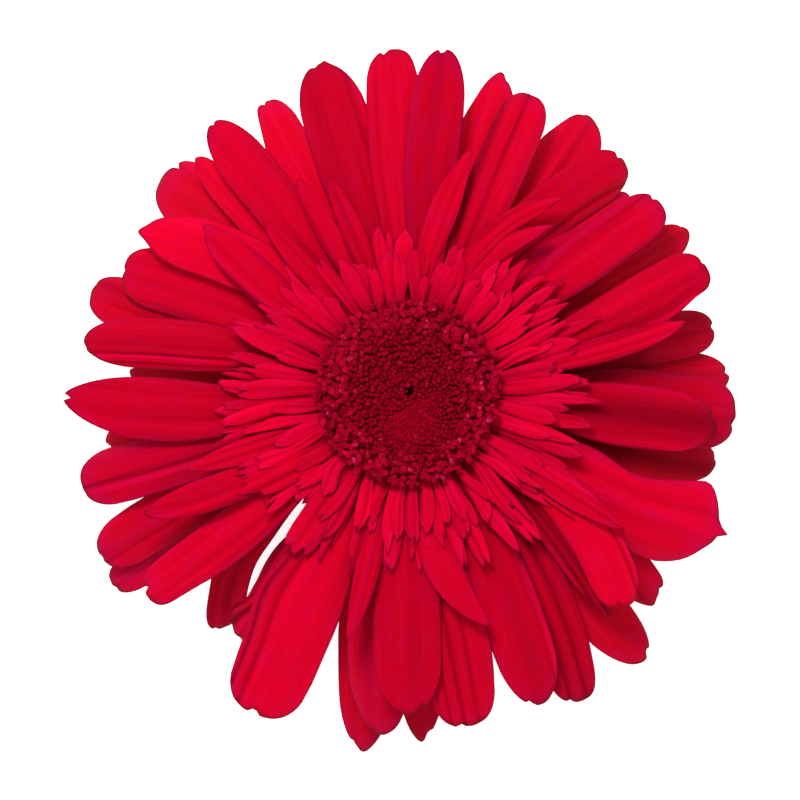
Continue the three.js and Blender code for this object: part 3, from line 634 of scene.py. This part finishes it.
def bud_shape(segments, rings, lobes):
    """A small upright bud of unit radius and height, lobed at its top and closed at both ends."""
    points = [(0.0, 0.0, 0.0)]
    for ring in range(rings):
        share = ring / rings
        radius = math.cos(share * math.pi / 2) ** 0.6 * (0.75 + 0.25 * math.sin(math.pi * share))
        height = math.sin(share * math.pi / 2)
        for segment in range(segments):
            angle = 2 * math.pi * segment / segments
            lobe = 1 + 0.22 * share * math.cos(lobes * angle)
            points.append((radius * lobe * math.cos(angle), radius * lobe * math.sin(angle), height))
    points.append((0.0, 0.0, 0.93))
    faces = []
    for segment in range(segments):
        a, b = 1 + segment, 1 + (segment + 1) % segments
        faces.append((0, b, a, a))
        for ring in range(rings - 1):
            faces.append((a, b, b + segments, a + segments))
            a, b = a + segments, b + segments
        faces.append((a, b, len(points) - 1, len(points) - 1))
    return np.array(points), np.array(faces)


def spin(points, angle):
    """Points turned about the upright axis."""
    c, s = math.cos(angle), math.sin(angle)
    return points @ np.array([[c, -s, 0], [s, c, 0], [0, 0, 1]]).T


def stand(local, radius, azimuth, height, lean, turn):
    """Turns points about their own axis, leans them outward and stands them at a place on the disc."""
    c, s = math.cos(math.radians(lean)), math.sin(math.radians(lean))
    local = spin(local, turn) @ np.array([[c, 0, s], [0, 1, 0], [-s, 0, c]]).T
    return spin(local + (radius, 0, height), azimuth)


def add_bud(builder, shape, radius, azimuth, size, long, height, lean, number, lift=0.0):
    """Stands one bud on the disc, drawn out to one side by long, sunk a little and leaning by lean degrees."""
    points, faces = shape
    local = points * (size * long, size / long, height)
    local[:, 2] -= BUD_SUNK * height
    placed = stand(local, radius, azimuth, disc_height(radius) + lift, lean, 2 * math.pi * draw(number, 41))
    share = points[:, 2]
    # The second value, the height on the bud, sets its painted shade at the foot and painted light at the tip.
    tint = np.stack([0 * share + draw(number, 42), share, share, 0 * share + draw(number, 43)], axis=-1)
    builder.add(placed + DISC_AXIS, faces, placed[:, :2] / UV_SIZE, tint, np.zeros(len(faces)))


def add_strap(builder, number, radius, azimuth, turn, length, width, rise, bend, height):
    """One lobe of an open floret: a strap that rises, curls over and ends in a blunt point."""
    rows, columns = STRAP_GRID
    share = np.linspace(0, 1, rows)[:, None]
    angle = np.radians(rise - bend * share)
    steps = np.hstack([np.cos(angle), np.sin(angle)]) * (length / (rows - 1))
    out, up = np.cumsum(steps * (share > 0), axis=0)[:, :, None].swapaxes(0, 1)
    half = 0.5 * width * (0.55 + 0.45 * np.sin(math.pi * share ** 0.8)) * np.where(share > 0.99, 0.35, 1)
    u = np.linspace(-1, 1, columns)
    cup = 0.25 * width * (u * u) * (1 - share)
    grids = []
    for side in (0.5, -0.5):
        thick = side * STRAP_THICKNESS
        x = out - thick * np.sin(angle) - cup * np.sin(angle)
        z = up + thick * np.cos(angle) + cup * np.cos(angle)
        grids.append(np.stack([x, half * u, z], axis=-1).reshape(-1, 3))
    placed = stand(np.concatenate(grids), radius, azimuth, disc_height(radius) + height, 0, turn)
    faces, slots = skin_faces(rows, columns)
    share = np.tile(np.repeat(share, columns), 2)
    tone, pink = 0 * share + draw(number, 42), 0 * share + draw(number, 43)
    # The second value runs out along the strap and sets its painted shade at the foot and painted light at the tip.
    tint = np.stack([tone, 0.35 + 0.65 * share, share, pink], axis=-1)
    builder.add(placed + DISC_AXIS, faces, placed[:, :2] / UV_SIZE, tint, 0 * slots)


def disc_buds():
    """The closed buds on their spiral, small and still on the fold, and none in the pit and its groove."""
    builder = Builder()
    closed = bud_shape(segments=9, rings=4, lobes=3)
    for index in range(BUD_COUNT):
        radius = BUD_REACH * (index / BUD_COUNT) ** BUD_CROWDING
        grow = float(smooth(radius / BUD_REACH))
        azimuth = index * GOLDEN_ANGLE
        x = radius * math.cos(azimuth) + BUD_STRAY * spread(index, 54)
        y = radius * math.sin(azimuth) + BUD_STRAY * spread(index, 55)
        still = float(calm(x, y))
        groove = float(trail(x, y))
        if math.hypot(x - PIT_PLACE[0], y - PIT_PLACE[1]) < PIT_RADIUS or groove > BUD_GROOVE:
            continue
        size = (BUD_SIZE[0] + BUD_SIZE[1] * grow) * (1 + 0.25 * spread(index, 56)) * (1 - 0.25 * still)
        height = BUD_HEIGHT[0] + BUD_HEIGHT[1] * grow + 0.35 * spread(index, 44) * (1 - still)
        height *= 1 - 0.55 * still
        lean = 8 + 28 * (1 - still) * spread(index, 48)
        long = 1 + 0.45 * grow * draw(index, 58)
        lift = FOLD_RISE * still * BUD_FOLLOW - TRAIL_DEPTH * groove
        add_bud(builder, closed, math.hypot(x, y), math.atan2(y, x), size, long, height, lean, index, lift)
    builder.piece("disc_buds", "disc_florets", "crimson_disc", [BUD])


def open_florets():
    """The open florets at the rim: a tube with three straps that curl back."""
    builder = Builder()
    tube = bud_shape(segments=8, rings=4, lobes=4)
    for ring_index, (count, radius, height, lean, length) in enumerate(OPEN_RINGS):
        for index in range(count):
            number = 1000 + 100 * ring_index + index
            azimuth = 2 * math.pi * (index + 0.5 * ring_index + 0.35 * spread(number, 45)) / count
            near = radius + 0.5 * spread(number, 46)
            tall = height * (1 + 0.3 * spread(number, 47))
            add_bud(builder, tube, near, azimuth, TUBE_RADIUS, TUBE_DRAWN, tall, lean, number)
            base = 2 * math.pi * draw(number, 49)
            for lobe in range(STRAPS):
                turn = base + 2.1 * lobe + 0.5 * spread(number + lobe, 50)
                long = length * (1 + 0.35 * spread(number + lobe, 51))
                rise = 55 + 25 * spread(number + lobe, 52)
                bend = 150 + 70 * spread(number + lobe, 53)
                wide = STRAP_WIDTH * (1 + 0.25 * spread(number + lobe, 57))
                add_strap(builder, number + 7 * lobe, near, azimuth, turn, long, wide, rise, bend, 0.4 * tall)
    builder.piece("disc_open", "disc_florets", "crimson_disc", [OPEN])


# ----- cup, bracts, stem and down -----

def bract_blade(row_index, row, index):
    """A bract's blade, from its row's measures and random draws."""
    count, root_r, root_z, bend_r, bend_z, reach, tip_z, width = row
    number = 2000 + 100 * row_index + index
    azimuth = 360 * (index + 0.5 * row_index) / count + 2 * spread(number, 2)
    return Blade(
        id=number, root_a=azimuth, tip_a=azimuth + spread(number, 3), tip=POINTED,
        reach=reach + 0.5 * spread(number, 4), width=width * (1 + 0.1 * spread(number, 5)),
        root_r=root_r, bend_r=bend_r, root_z=root_z, bend_z=bend_z,
        tip_z=tip_z + 0.3 * spread(number, 6), roll=0.0, arch=0.2, thickness=BRACT_THICKNESS,
        wave=0.04, curl=(-0.1, -0.1), sway=0.1 * spread(number, 7),
        tone=spread(number, 8), pink=draw(number, 9)
    )


def bracts():
    builder = Builder()
    for row_index, row in enumerate(BRACT_ROWS):
        for index in range(row[0]):
            add_blade(builder, bract_blade(row_index, row, index), BRACT_GRID)
    builder.piece("bracts", "involucre", "green_bract", [BRACT, BRACT])


def add_hair(builder, root, way, length, number):
    """One hair: a slim three-sided spike whose root is sunk in the skin."""
    way = unit(way)
    side = unit(np.cross(way, (0.3, 0.5, 0.81)))
    other = np.cross(way, side)
    points = [root + 0.5 * HAIR_WIDTH * (side * math.cos(a) + other * math.sin(a)) for a in HAIR_CORNERS]
    points.append(root + way * length)
    faces = np.array([(0, 2, 1, 1), (0, 1, 3, 3), (1, 2, 3, 3), (2, 0, 3, 3)])
    tint = np.tile([draw(number, 61), 0.5, 0.5, 0.5], (4, 1))
    builder.add(np.array(points), faces, np.zeros((4, 2)), tint, np.zeros(4))


def down(name, node, slot, profile, count, length, seed):
    """Down all over a turned form: hairs spread evenly by area, lying a little upward."""
    rng = np.random.default_rng(seed)
    builder = Builder()
    profile = np.array(profile, dtype=float)
    steps = np.linalg.norm(np.diff(profile, axis=0), axis=1)
    share = steps * (profile[1:, 0] + profile[:-1, 0])
    share = share / share.sum()
    for number in range(count):
        part = rng.choice(len(share), p=share)
        slope = profile[part + 1] - profile[part]
        radius, height = profile[part] + slope * rng.random()
        normal = np.array([slope[1], -slope[0]]) / np.linalg.norm(slope)
        azimuth = rng.random() * 2 * math.pi
        around = azimuth + 0.4 * (rng.random() - 0.5)
        way = np.array([normal[0] * math.cos(around), normal[0] * math.sin(around), normal[1] + 0.5])
        root = np.array([radius * math.cos(azimuth), radius * math.sin(azimuth), height]) + DISC_AXIS
        add_hair(builder, root - HAIR_SUNK * unit(way), way, length * (0.6 + 0.6 * rng.random()), number)
    builder.piece(name, node, slot, [HAIR])


# ----- materials -----

class Graph:
    """Short names for building one material's nodes. Colours are given as red, green and blue."""

    def __init__(self, name):
        self.material = bpy.data.materials.new(name)
        self.material.use_nodes = True
        self.tree = self.material.node_tree
        self.tree.nodes.clear()

    def put(self, socket, value):
        if isinstance(value, bpy.types.NodeSocket):
            self.tree.links.new(value, socket)
        else:
            socket.default_value = (*value, 1) if socket.type == "RGBA" else value

    def node(self, kind, inputs=None, **settings):
        made = self.tree.nodes.new("ShaderNode" + kind)
        for key, value in settings.items():
            setattr(made, key, value)
        for key, value in (inputs or {}).items():
            self.put(made.inputs[key], value)
        return made

    def math(self, operation, a, b):
        return self.node("Math", {0: a, 1: b}, operation=operation).outputs[0]

    def times(self, a, b):
        return self.math("MULTIPLY", a, b)

    def mix(self, factor, a, b):
        return self.node("Mix", {0: factor, 6: a, 7: b}, data_type="RGBA").outputs[2]

    def span(self, value, low, high, to_low=0, to_high=1):
        inputs = {"Value": value, "From Min": low, "From Max": high, "To Min": to_low, "To Max": to_high}
        return self.node("MapRange", inputs, clamp=True).outputs[0]

    def scale(self, colour, factor):
        return self.node("VectorMath", {0: colour, "Scale": factor}, operation="SCALE").outputs[0]

    def noise(self, vector, scale, detail):
        return self.node("TexNoise", {"Vector": vector, "Scale": scale, "Detail": detail}).outputs["Fac"]

    def stretched(self, vector, scale, detail):
        """Noise drawn out along an axis by a scale for each axis."""
        return self.noise(self.node("Mapping", {"Vector": vector, "Scale": scale}).outputs[0], 1, detail)

    def place(self):
        return self.node("TexCoord").outputs["Object"]

    def uv(self):
        return self.node("UVMap", uv_map="UVMap").outputs[0]

    def tint(self):
        """The mesh's own values: tone, place across, place along, and pinkness."""
        made = self.node("Attribute", attribute_name="tint")
        parts = self.node("SeparateColor", {"Color": made.outputs["Color"]})
        return parts.outputs[0], parts.outputs[1], parts.outputs[2], made.outputs["Alpha"]

    def off_axis(self, place, axis):
        """Distance from an upright axis through a point."""
        centred = self.node("VectorMath", {0: place, 1: tuple(-axis)}, operation="ADD").outputs[0]
        parts = self.node("SeparateXYZ", {0: centred}).outputs
        across = self.node("CombineXYZ", {0: parts[0], 1: parts[1]}).outputs[0]
        return self.node("VectorMath", {0: across}, operation="LENGTH").outputs["Value"]

    def bump(self, height, strength, distance):
        return self.node("Bump", {"Height": height, "Strength": strength, "Distance": distance}).outputs[0]

    def skin(self, colour, normal, roughness, specular, specular_tint=(1, 1, 1), sheen=0):
        inputs = {
            "Base Color": colour, "Normal": normal, "Roughness": roughness, "Specular IOR Level": specular,
            "Specular Tint": specular_tint, "Sheen Weight": sheen,
        }
        return self.node("BsdfPrincipled", inputs)

    def finish(self, shader):
        self.node("OutputMaterial", {"Surface": shader.outputs[0]})
        return self.material


RED_GLOSS = (1, 0.04, 0.12)
BEAD_GLOSS = (1, 0.06, 0.2)


def petal_material(name, deep, bright, pink, root_shade_colour, rim, sides, root):
    """Satin petal skin: lengthwise streaks and veins, a pinker margin, a thin dark rim of painted shade, and painted
    shade along its edges near the root and at its root.
    """
    g = Graph(name)
    tone, edge, along, pinkness = g.tint()
    uv = g.uv()
    streaks = g.stretched(uv, (22, 0.8, 1), 3)
    veins = g.stretched(uv, (60, 1.4, 1), 2)
    mottle = g.stretched(uv, (5, 2.2, 1), 4)
    colour = g.mix(g.span(streaks, 0.3, 0.7), deep, bright)
    colour = g.mix(g.times(g.span(mottle, 0.45, 0.75), 0.3), colour, pink)
    margin = g.times(g.span(edge, 0.75, 0.95), g.span(pinkness, 0, 0.5, 0.1, 0.55))
    margin = g.math("MAXIMUM", margin, g.span(pinkness, 0.45, 1))
    colour = g.mix(margin, colour, pink)
    # A thin dark rim of painted shade, as of a contact shadow where petals overlap.
    colour = g.mix(g.span(edge, 0.93, 1, 0, 0.6), colour, rim)
    # Painted shade towards the root, past the share of the length that lies in shade.
    colour = g.mix(g.span(along, 0.5, 0.1, 0, 0.4), colour, root_shade_colour)
    # The tone, partly painted light and shade.
    colour = g.scale(colour, g.span(tone, 0, 1, TONE_RANGE[0], TONE_RANGE[1]))
    # Painted shade along the edges near the root, and over the root.
    shade = g.times(g.span(edge, 0.45, 1), g.span(along, 0.8, 0.1, 0, sides))
    colour = g.scale(colour, g.math("SUBTRACT", 1, shade))
    colour = g.scale(colour, g.span(along, 0, 0.25, 1 - root, 1))
    normal = g.bump(g.math("ADD", g.times(veins, 0.6), g.times(streaks, 0.8)), 0.35, 0.0004)
    skin = g.skin(colour, normal, 0.6, 0.12, RED_GLOSS)
    glow = g.node("BsdfTranslucent", {"Color": colour, "Normal": normal})
    return g.finish(g.node("MixShader", {0: PETAL_GLOW, 1: skin.outputs[0], 2: glow.outputs[0]}))


def bead_material(name, deep, bright, tip, flecks):
    """Small dark florets: deep at their feet, painted shade between them, and brighter towards their tips,
    partly their own colour and partly painted light, with a share of pinker ones.
    """
    g = Graph(name)
    tone, share, _, pinkness = g.tint()
    grain = g.noise(g.place(), 1800, 3)
    # Deep at the foot, painted shade; brighter towards the tip, partly painted light.
    colour = g.mix(g.span(share, 0.1, 0.95), deep, bright)
    spot = g.times(g.span(share, 0.6, 1), g.span(pinkness, 1 - flecks, 1, 0, 0.9))
    colour = g.mix(spot, colour, tip)
    colour = g.mix(g.times(g.span(grain, 0.4, 0.7), 0.3), colour, deep)
    colour = g.scale(colour, g.span(tone, 0, 1, 0.72, 1.2))
    return g.finish(g.skin(colour, g.bump(grain, 0.3, 0.0002), 0.6, 0.1, BEAD_GLOSS))


def skin_material(name, deep, bright, scale, painted_shade_places=()):
    """The skin between the florets: a fine uneven grain, and painted shade, near black, at given places."""
    g = Graph(name)
    place = g.place()
    grain = g.noise(place, scale, 4)
    colour = g.mix(g.span(grain, 0.35, 0.7), deep, bright)
    # Painted shade, near black at each place and gone at its distance.
    for (x, y), reach in painted_shade_places:
        away = g.off_axis(place, (DISC_AXIS + (x, y, 0)) * MM)
        colour = g.scale(colour, g.span(away, 0.5 * reach * MM, reach * MM, 0.15, 1))
    return g.finish(g.skin(colour, g.bump(grain, 0.5, 0.0003), 0.7, 0.15, RED_GLOSS))


def green_material(name, deep, bright, tip, stripes):
    """Matt green skin with lengthwise veins, darker patches and a reddish tip."""
    g = Graph(name)
    tone, _, along, _ = g.tint()
    uv = g.uv()
    veins = g.stretched(uv, (stripes, 1.2, 1), 3)
    mottle = g.stretched(uv, (6, 5, 1), 3)
    colour = g.mix(g.span(veins, 0.35, 0.7), deep, bright)
    colour = g.mix(g.times(g.span(mottle, 0.5, 0.8), 0.4), colour, deep)
    colour = g.mix(g.span(along, 0.78, 1, 0, 0.7), colour, tip)
    colour = g.scale(colour, g.span(tone, 0, 1, 0.85, 1.15))
    return g.finish(g.skin(colour, g.bump(veins, 0.4, 0.0003), 0.6, 0.3, sheen=0.1))


def stem_material():
    """Stem skin with lengthwise ribs; the cut face is paler, with a ring of darker bundles."""
    g = Graph("stem")
    place = g.place()
    radius = g.off_axis(place, DISC_AXIS * MM)
    height = g.node("SeparateXYZ", {0: place}).outputs[2]
    fibres = g.stretched(place, (2600, 2600, 120), 3)
    pith = g.noise(place, 2400, 3)
    outside = g.mix(g.span(fibres, 0.35, 0.7), (0.13, 0.2, 0.045), (0.26, 0.36, 0.1))
    face = g.mix(g.span(pith, 0.35, 0.7), (0.42, 0.48, 0.2), (0.62, 0.66, 0.36))
    ring = g.times(g.span(radius, 0.0017, 0.0022), g.span(radius, 0.0028, 0.0024))
    face = g.mix(g.times(ring, 0.5), face, (0.2, 0.27, 0.08))
    colour = g.mix(g.span(height, 0.00012, 0.00003), outside, face)
    return g.finish(g.skin(colour, g.bump(fibres, 0.4, 0.0003), 0.6, 0.3, sheen=0.1))


def hair_material():
    """Pale down, each hair in a tone of its own."""
    g = Graph("down")
    colour = g.mix(g.tint()[0], (0.5, 0.56, 0.36), (0.75, 0.78, 0.62))
    return g.finish(g.node("BsdfPrincipled", {"Base Color": colour, "Roughness": 0.5}))


def floor_material():
    """Matt white sheet with a faint tooth; it glows a little, as a lit sheet does."""
    g = Graph("floor")
    colour = g.mix(g.span(g.noise(g.place(), 900, 2), 0.3, 0.7), (0.93, 0.93, 0.93), (0.96, 0.96, 0.96))
    inputs = {
        "Base Color": colour, "Roughness": 0.9, "Specular IOR Level": 0.1,
        "Emission Color": (1, 1, 1), "Emission Strength": FLOOR_GLOW,
    }
    return g.finish(g.node("BsdfPrincipled", inputs))


# Petals: colours of the deep and bright streaks, the margin, the painted shade at the root and the thin rim of
# painted shade, and the shares of painted shade along the edges and at the root.
RAY_FACE = petal_material(
    "ray_face", (0.58, 0.0002, 0.0165), (0.68, 0.0003, 0.0205), (0.56, 0.0015, 0.07),
    (0.5, 0.0002, 0.02), (0.26, 0.0002, 0.006), 0.25, 0.35
)
RAY_INNER = petal_material(
    "ray_inner", (0.54, 0.0003, 0.02), (0.68, 0.0004, 0.026), (0.6, 0.002, 0.07),
    (0.46, 0.0002, 0.02), (0.3, 0.0002, 0.01), 0.15, 0
)
RAY_BACK = petal_material(
    "ray_back", (0.5, 0.012, 0.04), (0.62, 0.03, 0.075), (0.66, 0.07, 0.16),
    (0.5, 0.06, 0.07), (0.5, 0.02, 0.05), 0.2, 0.1
)
BUD = bead_material("disc_bud", (0.18, 0.0002, 0.006), (0.215, 0.0004, 0.008), (0.36, 0.005, 0.05), 0.07)
OPEN = bead_material("disc_open", (0.115, 0.0002, 0.004), (0.38, 0.0008, 0.02), (0.55, 0.02, 0.11), 0.25)
SKIN = skin_material("disc_skin", (0.22, 0.0002, 0.007), (0.27, 0.0004, 0.01), 1500, PAINTED_SHADE_PLACES)
BASE = skin_material("ray_base", (0.12, 0.0006, 0.004), (0.28, 0.001, 0.009), 900)
CUP = skin_material("cup", (0.05, 0.09, 0.018), (0.13, 0.19, 0.045), 1200)
BRACT = green_material("bract", (0.06, 0.11, 0.02), (0.17, 0.25, 0.06), (0.22, 0.07, 0.05), 22)
STEM = stem_material()
HAIR = hair_material()
FLOOR = floor_material()


# ----- stage, light and camera -----

def make_floor():
    bpy.ops.mesh.primitive_plane_add(size=FLOOR_SIZE, location=(0, 0, 0))
    floor = bpy.context.object
    floor.name = "floor"
    floor.data.materials.append(FLOOR)


def make_light():
    """Even light from all round, and a round soft lamp that looks at the flower."""
    world = bpy.data.worlds.new("studio")
    world.use_nodes = True
    background = world.node_tree.nodes["Background"].inputs
    background[0].default_value = (1, 1, 1, 1)
    background[1].default_value = FILL
    bpy.context.scene.world = world
    data = bpy.data.lights.new("key", "AREA")
    data.shape = "DISK"
    data.size = KEY_SIZE
    data.energy = KEY_POWER
    lamp = bpy.data.objects.new("key", data)
    bpy.context.scene.collection.objects.link(lamp)
    lamp.location = KEY_PLACE
    x, y, z = KEY_PLACE
    lamp.rotation_euler = (math.atan2(math.hypot(x, y), z), 0, math.atan2(y, x) + math.pi / 2)
    bpy.context.scene.view_settings.view_transform = "Standard"


def make_camera():
    """Looks straight down, with the disc where the photograph has it."""
    data = bpy.data.cameras.new("camera")
    data.sensor_width = SENSOR_WIDTH
    data.lens = SENSOR_WIDTH * CAMERA_AWAY / (PHOTO_PIXELS * PHOTO_MM_PER_PIXEL * MM)
    camera = bpy.data.objects.new("camera", data)
    bpy.context.scene.collection.objects.link(camera)
    half = PHOTO_PIXELS / 2
    x = DISC_AXIS[0] - (DISC_PIXEL[0] - half) * PHOTO_MM_PER_PIXEL
    y = DISC_AXIS[1] + (DISC_PIXEL[1] - half) * PHOTO_MM_PER_PIXEL
    camera.location = (x * MM, y * MM, CAMERA_AWAY + CAMERA_LEVEL)
    bpy.context.scene.camera = camera


make_floor()
make_light()
make_camera()
table_rays("rays_outer", LONG_RAYS, 0, LONG_GRID)
table_rays("rays_middle", MID_RAYS, MID_FIRST, MID_GRID)
short_rays()
turned_piece("ray_base", "ray_florets", rounded(BASE_PROFILE, steps=3), 96, BASE)
disc_skin()
disc_buds()
open_florets()
turned_piece("cup", "involucre", rounded(CUP_PROFILE, steps=4), 96, CUP, ribs=(19, 0.006))
bracts()
turned_piece("stem_stub", "stem", rounded(STEM_PROFILE, steps=4), 72, STEM, ribs=(9, 0.012))
down("stem_down", "stem", "green_stem", STEM_SIDE, count=420, length=0.7, seed=11)
down("cup_down", "involucre", "green_bract", CUP_SIDE, count=900, length=0.8, seed=12)
